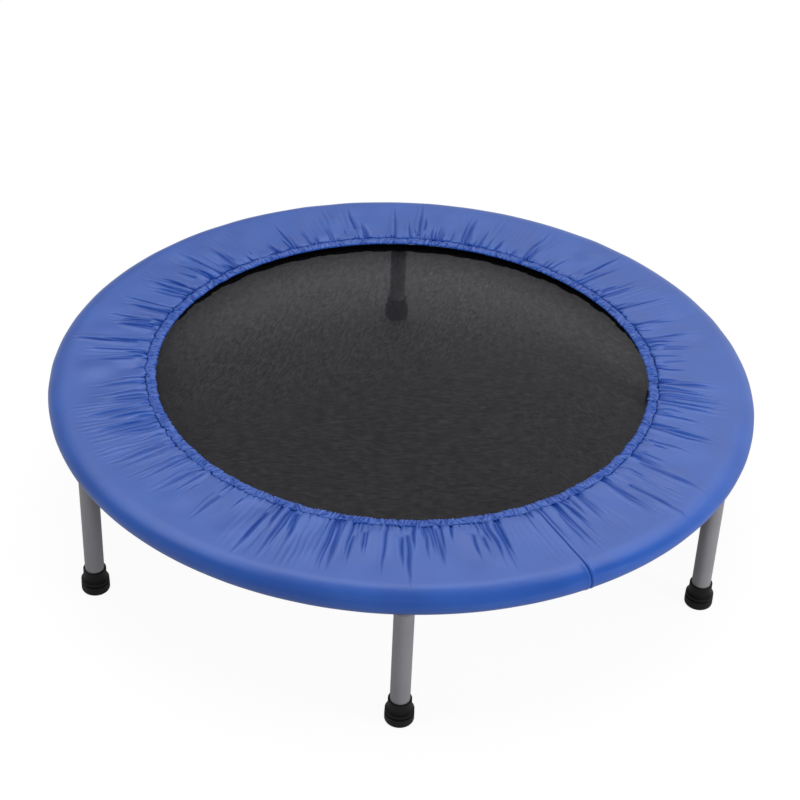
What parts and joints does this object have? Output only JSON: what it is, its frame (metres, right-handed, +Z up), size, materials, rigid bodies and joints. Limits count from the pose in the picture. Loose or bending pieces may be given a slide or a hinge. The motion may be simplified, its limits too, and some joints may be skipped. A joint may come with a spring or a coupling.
{
  "type": "mini trampoline",
  "caption": "Round mini trampoline: a woven mat on springs inside a steel tube ring, a padded blue cover over the springs, and screw-in tube legs with rubber feet.",
  "frame": {"origin": "on the floor below the centre of the ring, at the bottom of the box", "axes": "+Z up along the axis of the ring; -Y points through leg 1, the front leg"},
  "size_m": [0.964, 0.9684, 0.2126],
  "materials": {
    "frame_paint": "satin",
    "leg_paint": "satin",
    "bush_steel": "satin",
    "stud_steel": "satin",
    "cover_fabric": "satin",
    "hem_fabric": "satin",
    "foam": "matte",
    "lining_cloth": "matte",
    "elastic_band": "matte",
    "elastic_cord": "matte",
    "mat_weave": "matte",
    "binding_webbing": "matte",
    "loop_webbing": "matte",
    "v_ring_zinc": "satin",
    "spring_zinc": "satin",
    "saddle_plastic": "matte",
    "foot_rubber": "matte"
  },
  "bodies": {
    "frame": {"frame_ring": "frame_paint", "leg_bushes": "bush_steel", "pad_cover": "cover_fabric", "hem_channel": "hem_fabric", "pad_foam": "foam", "pad_lining": "lining_cloth", "hem_elastic": "elastic_band", "skirt_elastic": "elastic_cord", "spring_set_1": "spring_zinc", "spring_set_2": "spring_zinc", "spring_set_3": "spring_zinc", "spring_set_4": "spring_zinc", "spring_set_5": "spring_zinc", "spring_set_6": "spring_zinc"},
    "mat": {"mat": "mat_weave", "mat_binding": "binding_webbing", "webbing_loops": "loop_webbing", "v_rings": "v_ring_zinc"},
    "saddle_1": {"saddle_washer_1": "saddle_plastic"},
    "leg_1": {"leg_tube_1": "leg_paint", "leg_stud_1": "stud_steel", "rubber_foot_1": "foot_rubber"},
    "saddle_2": {"saddle_washer_2": "saddle_plastic"},
    "leg_2": {"leg_tube_2": "leg_paint", "leg_stud_2": "stud_steel", "rubber_foot_2": "foot_rubber"},
    "saddle_3": {"saddle_washer_3": "saddle_plastic"},
    "leg_3": {"leg_tube_3": "leg_paint", "leg_stud_3": "stud_steel", "rubber_foot_3": "foot_rubber"},
    "saddle_4": {"saddle_washer_4": "saddle_plastic"},
    "leg_4": {"leg_tube_4": "leg_paint", "leg_stud_4": "stud_steel", "rubber_foot_4": "foot_rubber"},
    "saddle_5": {"saddle_washer_5": "saddle_plastic"},
    "leg_5": {"leg_tube_5": "leg_paint", "leg_stud_5": "stud_steel", "rubber_foot_5": "foot_rubber"},
    "saddle_6": {"saddle_washer_6": "saddle_plastic"},
    "leg_6": {"leg_tube_6": "leg_paint", "leg_stud_6": "stud_steel", "rubber_foot_6": "foot_rubber"}
  },
  "joints": [
    {"name": "mat_bounce", "type": "slide", "parent": "frame", "child": "mat", "axis": [0, 0, 1], "range_m": [-0.1, 0.003], "stiffness_N_per_m": 7500, "deforming": ["spring_set_1", "spring_set_2", "spring_set_3", "spring_set_4", "spring_set_5", "spring_set_6"]},
    {"name": "leg_1_travel", "type": "slide", "parent": "frame", "child": "saddle_1", "axis": [0, 0, -1], "range_m": [0, 0.0121]},
    {"name": "leg_1_turn", "type": "hinge", "parent": "saddle_1", "child": "leg_1", "pos_m": [0, -0.4655, 0.18], "axis": [0, 0, -1], "range_deg": [0, 2880]},
    {"name": "leg_2_travel", "type": "slide", "parent": "frame", "child": "saddle_2", "axis": [0, 0, -1], "range_m": [0, 0.0121]},
    {"name": "leg_2_turn", "type": "hinge", "parent": "saddle_2", "child": "leg_2", "pos_m": [0.40314, -0.23275, 0.18], "axis": [0, 0, -1], "range_deg": [0, 2880]},
    {"name": "leg_3_travel", "type": "slide", "parent": "frame", "child": "saddle_3", "axis": [0, 0, -1], "range_m": [0, 0.0121]},
    {"name": "leg_3_turn", "type": "hinge", "parent": "saddle_3", "child": "leg_3", "pos_m": [0.40314, 0.23275, 0.18], "axis": [0, 0, -1], "range_deg": [0, 2880]},
    {"name": "leg_4_travel", "type": "slide", "parent": "frame", "child": "saddle_4", "axis": [0, 0, -1], "range_m": [0, 0.0121]},
    {"name": "leg_4_turn", "type": "hinge", "parent": "saddle_4", "child": "leg_4", "pos_m": [0, 0.4655, 0.18], "axis": [0, 0, -1], "range_deg": [0, 2880]},
    {"name": "leg_5_travel", "type": "slide", "parent": "frame", "child": "saddle_5", "axis": [0, 0, -1], "range_m": [0, 0.0121]},
    {"name": "leg_5_turn", "type": "hinge", "parent": "saddle_5", "child": "leg_5", "pos_m": [-0.40314, 0.23275, 0.18], "axis": [0, 0, -1], "range_deg": [0, 2880]},
    {"name": "leg_6_travel", "type": "slide", "parent": "frame", "child": "saddle_6", "axis": [0, 0, -1], "range_m": [0, 0.0121]},
    {"name": "leg_6_turn", "type": "hinge", "parent": "saddle_6", "child": "leg_6", "pos_m": [-0.40314, -0.23275, 0.18], "axis": [0, 0, -1], "range_deg": [0, 2880]}
  ],
  "couplings": [
    {"joint": "leg_1_travel", "follows": "leg_1_turn", "m_per_rad": 0.00023873},
    {"joint": "leg_2_travel", "follows": "leg_2_turn", "m_per_rad": 0.00023873},
    {"joint": "leg_3_travel", "follows": "leg_3_turn", "m_per_rad": 0.00023873},
    {"joint": "leg_4_travel", "follows": "leg_4_turn", "m_per_rad": 0.00023873},
    {"joint": "leg_5_travel", "follows": "leg_5_turn", "m_per_rad": 0.00023873},
    {"joint": "leg_6_travel", "follows": "leg_6_turn", "m_per_rad": 0.00023873}
  ]
}
